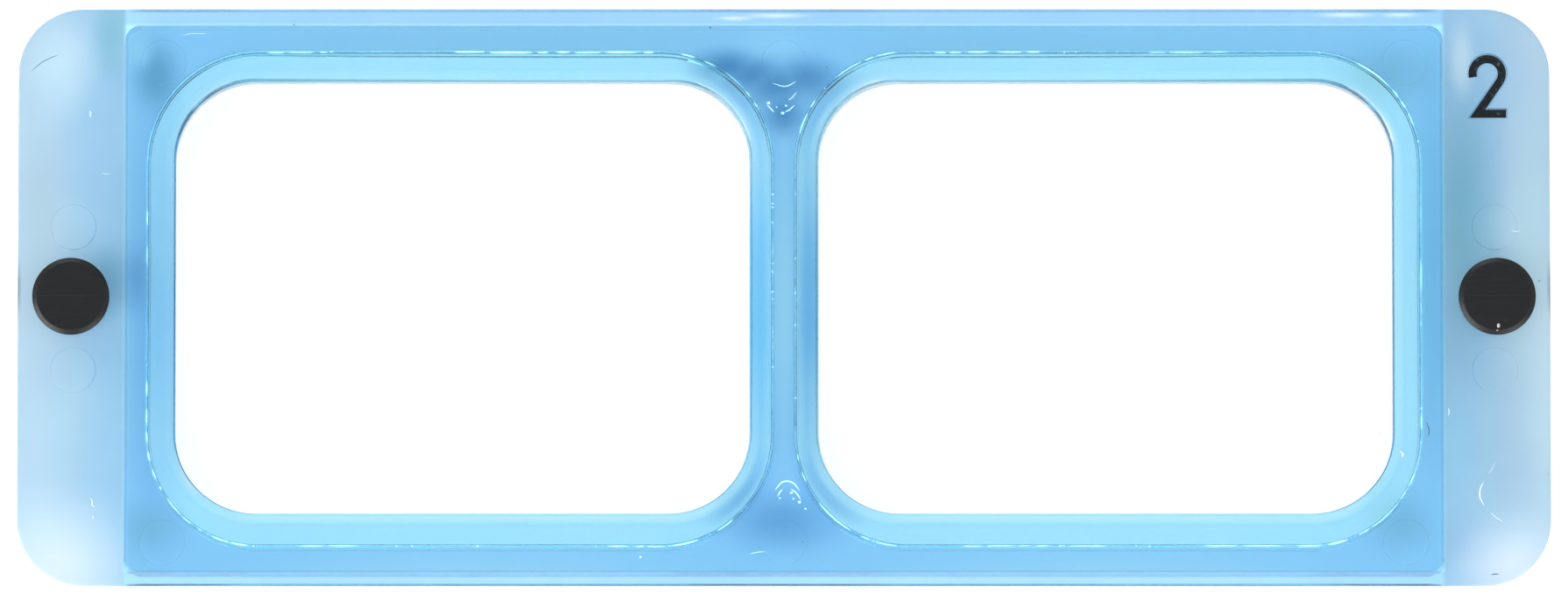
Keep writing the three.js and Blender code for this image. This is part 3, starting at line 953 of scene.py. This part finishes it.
# Bubbles moulded into the plate where the two pockets meet, in mm: x, y and size.
BRIDGE_BUBBLES = [(-1.15, 14.7, 0.12), (-0.1, 13.95, 0.13), (0.15, 14.5, 0.09), (-0.55, 14.4, 0.06),
                  (0.55, -14.5, 0.1), (1.15, -15.2, 0.12), (0.7, -14.95, 0.08), (1.6, -15.7, 0.08),
                  (-0.3, -14.9, 0.07), (-10.7, -19.3, 0.09)]
# The short curved lines among them: their points, and their width.
BRIDGE_LINES = [([(-1.3, 14.6), (-0.95, 14.25), (-0.75, 14.0)], 0.08),
                ([(0.05, 14.0), (0.4, 14.2), (0.8, 14.55)], 0.09),
                ([(0.3, 14.9), (0.6, 15.1), (0.95, 15.55)], 0.06),
                ([(-0.9, 16.2), (0.1, 15.95), (0.95, 16.35)], 0.07),
                ([(-0.7, -14.35), (-0.1, -13.7), (0.65, -13.75), (1.2, -14.4)], 0.09),
                ([(-0.5, -14.8), (-0.3, -14.45), (-0.1, -14.25)], 0.08),
                ([(0.5, -14.2), (0.95, -14.55), (1.25, -15.05)], 0.08),
                ([(-2.6, -19.1), (-2.0, -18.95), (-1.3, -18.9)], 0.04)]
BRIDGE_LINE_THICKNESS = 0.05


def bridge_flaws():
    """The bubbles and lines deep in the plate between the two lenses."""
    solid = Solid()
    height = FRONT - BUBBLE_DEPTH
    for i, (x, y, size) in enumerate(BRIDGE_BUBBLES):
        solid.bead((x, y, height), (size, size * 0.8, size * 0.5), i * 3.7)
    for line, width in BRIDGE_LINES:
        solid.sliver(smooth_line(line, height), width, BRIDGE_LINE_THICKNESS)
    return solid.piece("bridge_bubbles", LOOSE_CREASE)


# ---------- marks of use

# Pale and dark lines on the front face, in mm: their points, and their width.
SCRATCHES = [([(52.1, -13.8), (51.85, -14.4), (51.85, -15.0), (52.15, -15.6)], 0.1),
             ([(52.6, -16.1), (53.0, -16.45), (53.6, -16.85)], 0.05),
             ([(53.0, -12.3), (52.7, -12.9), (52.5, -13.2)], 0.04),
             ([(45.9, -11.5), (46.1, -11.75), (46.0, -12.0)], 0.12),
             ([(-51.9, 13.95), (-51.72, 13.8), (-51.8, 13.6), (-51.66, 13.45)], 0.07),
             ([(-51.65, -15.0), (-51.5, -15.35), (-51.55, -15.5), (-51.35, -15.75)], 0.07),
             ([(-51.5, -16.3), (-51.45, -16.5), (-51.5, -16.6)], 0.06),
             ([(-50.9, 9.3), (-50.6, 9.2), (-50.2, 9.25)], 0.03),
             ([(49.5, -8.3), (49.55, -8.6), (49.5, -8.9)], 0.06),
             ([(54.2, 5.0), (54.6, 4.9), (54.9, 4.95)], 0.03),
             ([(-44.9, 19.6), (-44.1, 19.75), (-43.0, 19.7)], 0.04)]
DARK_LINES = [([(-56.2, 16.9), (-55.5, 17.5), (-54.9, 17.85), (-54.1, 18.15)], 0.05),
              ([(47.85, -9.3), (48.05, -9.9), (48.0, -10.5)], 0.07),
              ([(52.6, -20.75), (52.95, -20.7), (53.25, -20.72)], 0.08)]
# Dark specks: x, y and size.
SPECKS = [(-5.5, 20.2, 0.08), (-36.6, 20.4, 0.06), (3.2, 17.2, 0.06), (56.3, 1.2, 0.06), (44.4, -10.1, 0.05),
          (42.9, -13.3, 0.05), (1.4, -18.3, 0.05), (-57.0, -6.0, 0.04), (56.9, -13.2, 0.05)]


def marks(name, lines, specks=()):
    """Thin lines and specks, half sunk in the front face."""
    solid = Solid()
    for line, width in lines:
        solid.sliver(smooth_line(line, FRONT), width, MARK_THICKNESS)
    for i, (x, y, size) in enumerate(specks):
        solid.bead((x, y, FRONT), (size, size * 0.8, MARK_THICKNESS / 2), 5 + i * 2.3)
    return solid.piece(name, LOOSE_CREASE)


# ---------- push rivets

def plunger(word):
    """The rivet's plunger: a flat head with a bevelled rim and a fine mould line, on a tapered pin."""
    low, high = corners(f"{word}_rivet_plunger")
    x, y = rivet_centre(word)
    radius = (high.x - low.x) / 2
    face = high.z - HEAD_FACE_DROP
    under = FRONT + 2 * SEAT_GAP + GROMMET_FLANGE_THICKNESS
    # up the pin from its tip, over the fillet, and out under the head to its side
    profile = [(PIN_TIP - 0.12, low.z), (PIN_TIP, low.z + 0.08), (PIN_RADIUS, low.z + PIN_TAPER),
               (PIN_RADIUS, under - PIN_FILLET), (PIN_RADIUS + PIN_FILLET, under), (radius - 0.1, under),
               (radius, under + 0.1), (radius, face - HEAD_RIM_DROP - 0.08)]
    # the rounded shoulder, the bevel and the face
    for step in range(SHOULDER_STEPS):
        turn = math.radians(90 - 18 * step)
        profile.append((radius - SHOULDER_REACH * (1 - math.sin(turn)),
                        face - HEAD_RIM_DROP - SHOULDER_DROP * (1 - math.cos(turn))))
    profile += [(radius - HEAD_RIM + 0.03, face - 0.02), (radius - HEAD_RIM - 0.01, face - 0.003),
                (radius - HEAD_RIM - 0.05, face), (0.4, face)]
    solid = Solid()
    solid.turned(profile, x, y)
    reach = radius - MOULD_LINE_MARGIN
    line = [(x - reach, y + 0.03), (x, y + 0.05), (x + reach, y + 0.06)]
    solid.sliver(smooth_line(line, face, 12), MOULD_LINE_WIDTH, 2 * HEAD_FACE_DROP * 0.9)
    return solid.piece(f"{word}_rivet_plunger_moulded", RIVET_CREASE)


def gate_fleck():
    """A whitened comma of nylon left by the gate at the foot of the right plunger's head."""
    high = corners("right_rivet_plunger")[1]
    x, y = rivet_centre("right")
    face = high.z - HEAD_FACE_DROP
    solid = Solid()
    solid.bead((x + 0.07, y - 2.22, face), (0.11, 0.17, 0.9 * HEAD_FACE_DROP), 2.0, 3)
    tail = [(x + 0.12, y - 2.25), (x + 0.06, y - 2.45), (x - 0.08, y - 2.62)]
    solid.sliver(smooth_line(tail, face - FLECK_THICKNESS / 2), 0.14, FLECK_THICKNESS)
    return solid.piece("right_rivet_gate_fleck", LOOSE_CREASE)


def grommet(word):
    """The rivet's grommet: a thin flange, and a barrel slotted into four barbed legs."""
    low, high = corners(f"{word}_rivet_grommet")
    x, y = rivet_centre(word)
    under = high.z - GROMMET_FLANGE_THICKNESS
    flange = (high.x - low.x) / 2
    # down in the bore, round the legs' tips, out over the barb, up the barrel and round the flange
    profile = [(GROMMET_BORE, low.z + 0.1), (GROMMET_BORE + 0.1, low.z), (GROMMET_TIP - 0.08, low.z),
               (GROMMET_TIP, low.z + 0.1), (GROMMET_BARB - 0.03, BARB_LOW - 0.08), (GROMMET_BARB, BARB_LOW),
               (GROMMET_BARB, BARB_HIGH - 0.15), (GROMMET_BARREL, BARB_HIGH), (GROMMET_BARREL, under - 0.05),
               (GROMMET_BARREL + 0.03, under), (flange - 0.06, under), (flange, under + 0.06),
               (flange, high.z - 0.1), (flange - 0.03, high.z - 0.03), (flange - 0.1, high.z),
               (GROMMET_BORE + 0.1, high.z), (GROMMET_BORE, high.z - 0.1)]
    solid = Solid()
    solid.loop([solid.ring(circle(radius, (x, y), ROUND_STEPS), z) for radius, z in profile])
    body = solid.piece(f"{word}_rivet_grommet_moulded", RIVET_CREASE)
    cutters = []
    for turn in (45, 135):
        slot = Solid()
        c, s = math.cos(math.radians(turn)), math.sin(math.radians(turn))
        outline = [(x + a * SLOT_REACH * c - b * s * SLOT_WIDTH / 2,
                    y + a * SLOT_REACH * s + b * c * SLOT_WIDTH / 2)
                   for a, b in SQUARE]
        rings = [slot.ring(outline, low.z - 1), slot.ring(outline, SLOT_TOP)]
        slot.loft(rings)
        slot.fill(rings[0])
        slot.fill(rings[1])
        cutters.append(slot.piece(f"slot_{turn}", RIVET_CREASE))
    return carved(body, cutters)


def carved(body, cutters):
    """The body with the cutters taken out of it."""
    for cutter in cutters:
        modifier = body.modifiers.new("cut", "BOOLEAN")
        modifier.operation, modifier.solver, modifier.object = "DIFFERENCE", "EXACT", cutter
    bpy.context.view_layer.update()
    mesh = bpy.data.meshes.new_from_object(body.evaluated_get(bpy.context.evaluated_depsgraph_get()))
    name = body.name
    for thing in [body] + cutters:
        bpy.data.objects.remove(thing)
    return finished_piece(name, mesh, RIVET_CREASE)


# ---------- assembly

make_camera()
make_floor()
make_light()

# the air caught in the cement and the bubbles in the bridge share a material that glows by emission: painted
# light
PLASTIC, GLASS, CEMENT, GLOWING_AIR = tinted_plastic(), lens_glass(), clear_cement(), trapped_air()
NYLON, PALE_NYLON, INK = black_nylon(), pale_nylon(), black_ink()

plate = moulding()
weight_normals(plate)
dress(plate, "plate", "tinted_plastic", PLASTIC, "lens_plate")
dress(numeral_ink(), "plate", "black_ink", INK, "strength_numeral")
dress(bridge_flaws(), "plate", "tinted_plastic", GLOWING_AIR)
dress(marks("front_scratches", SCRATCHES), "plate", "tinted_plastic", scuffed_plastic())
dress(marks("front_specks", DARK_LINES, SPECKS), "plate", "black_ink", dirt())
dress(gate_fleck(), "right_plunger", "black_nylon", PALE_NYLON)

for word, side in SIDES:
    dress(lens(word, side), "plate", "lens_glass", GLASS, f"{word}_lens")
    dress(cement_bead(word, side), "plate", "clear_cement", CEMENT, f"{word}_lens_cement")
    dress(trapped_air_lines(word, side), "plate", "clear_cement", GLOWING_AIR)
    dress(grommet(word), "plate", "black_nylon", NYLON, f"{word}_rivet_grommet")
    dress(plunger(word), f"{word}_plunger", "black_nylon", NYLON, f"{word}_rivet_plunger")
